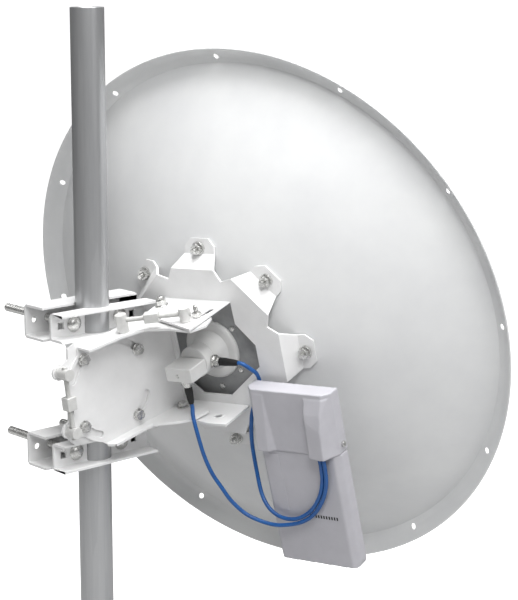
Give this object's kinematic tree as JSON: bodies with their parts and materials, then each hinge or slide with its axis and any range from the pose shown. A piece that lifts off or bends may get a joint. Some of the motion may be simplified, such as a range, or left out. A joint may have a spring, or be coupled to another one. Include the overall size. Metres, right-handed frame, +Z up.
{
  "type": "pole-mounted parabolic dish antenna",
  "caption": "Round dish antenna on a steel pole, with a tilt and swivel mount, a feed and a radio box with blue cables on its back.",
  "frame": {"origin": "centre of the pole's closed lower end face", "axes": "+Z up the pole, +Y from the pole towards the dish, +X to the side with the tilt bracket"},
  "size_m": [0.6806, 0.436, 0.905],
  "materials": {
    "galvanised_pole": "satin",
    "painted_bracket": "satin",
    "reflector_paint": "satin",
    "steel_fastener": "satin",
    "feed_plastic": "satin",
    "radio_plastic": "satin",
    "black_rubber": "satin",
    "blue_jacket": "satin"
  },
  "bodies": {
    "mast": {"mast_pole": "galvanised_pole", "pole_bracket": "painted_bracket", "clamp_channel_upper": "painted_bracket", "clamp_channel_lower": "painted_bracket", "clamp_bolt_upper_left": "steel_fastener", "clamp_bolt_upper_right": "steel_fastener", "clamp_bolt_lower_left": "steel_fastener", "clamp_bolt_lower_right": "steel_fastener", "tilt_bolt_front_top": "steel_fastener", "tilt_bolt_back_top": "steel_fastener", "tilt_bolt_back_low": "steel_fastener", "tilt_bolt_front_low": "steel_fastener"},
    "tilt_barrel_upper_body": {"tilt_barrel_upper": "steel_fastener"},
    "tilt_screw_body": {"tilt_screw": "steel_fastener"},
    "tilt_head_body": {"tilt_head": "painted_bracket", "swivel_bolt_upper": "steel_fastener", "swivel_bolt_lower": "steel_fastener", "swivel_lock_bolt": "steel_fastener"},
    "tilt_barrel_lower_body": {"tilt_barrel_lower": "steel_fastener"},
    "swivel_screw_body": {"swivel_barrel_inner": "steel_fastener", "swivel_screw": "steel_fastener"},
    "dish": {"hub_bracket": "painted_bracket", "reflector": "reflector_paint", "feed_flange": "feed_plastic", "feed_body": "feed_plastic", "feed_coupler": "feed_plastic", "feed_tube": "feed_plastic", "splash_plate": "feed_plastic", "port_nut_side": "steel_fastener", "port_boot_side": "black_rubber", "port_nut_low": "steel_fastener", "port_boot_low": "black_rubber", "radio_case": "radio_plastic", "radio_hood": "radio_plastic", "radio_ports": "steel_fastener", "radio_bracket": "painted_bracket", "cable_side": "blue_jacket", "cable_low": "blue_jacket"},
    "swivel_barrel_outer_body": {"swivel_barrel_outer": "steel_fastener"}
  },
  "joints": [
    {"name": "tilt", "type": "hinge", "parent": "mast", "child": "tilt_head_body", "pos_m": [0.034, 0, 0.46], "axis": [1, 0, 0], "range_deg": [-29, 1]},
    {"name": "swivel", "type": "hinge", "parent": "tilt_head_body", "child": "dish", "pos_m": [0.045, 0.08733, 0.48177], "axis": [0, -0.2419, 0.9703], "range_deg": [-19, 1]},
    {"name": "tilt_barrel_upper_turn", "type": "hinge", "parent": "mast", "child": "tilt_barrel_upper_body", "pos_m": [0.0415, -0.072, 0.489], "axis": [1, 0, 0], "range_deg": [-12.4, 0.6]},
    {"name": "tilt_screw_feed", "type": "slide", "parent": "tilt_barrel_upper_body", "child": "tilt_screw_body", "axis": [0, -0.1395, 0.9902], "range_m": [-0.001, 0.0185]},
    {"name": "tilt_barrel_lower_turn", "type": "hinge", "parent": "tilt_head_body", "child": "tilt_barrel_lower_body", "pos_m": [0.0415, -0.062, 0.418], "axis": [1, 0, 0], "range_deg": [-0.8, 17.2]},
    {"name": "swivel_screw_turn", "type": "hinge", "parent": "tilt_head_body", "child": "swivel_screw_body", "pos_m": [0.05286, 0.02182, 0.46544], "axis": [0, -0.2419, 0.9703], "range_deg": [-10.9, 0.7]},
    {"name": "swivel_barrel_outer_turn", "type": "hinge", "parent": "dish", "child": "swivel_barrel_outer_body", "pos_m": [0.11377, 0.06682, 0.47666], "axis": [0, -0.2419, 0.9703], "range_deg": [-0.6, 8.4]}
  ],
  "couplings": [
    {"joint": "tilt_barrel_upper_turn", "follows": "tilt", "ratio": 0.42},
    {"joint": "tilt_screw_feed", "follows": "tilt", "m_per_rad": -0.0356},
    {"joint": "tilt_barrel_lower_turn", "follows": "tilt", "ratio": -0.58},
    {"joint": "swivel_screw_turn", "follows": "swivel", "ratio": 0.565},
    {"joint": "swivel_barrel_outer_turn", "follows": "swivel", "ratio": -0.435}
  ]
}
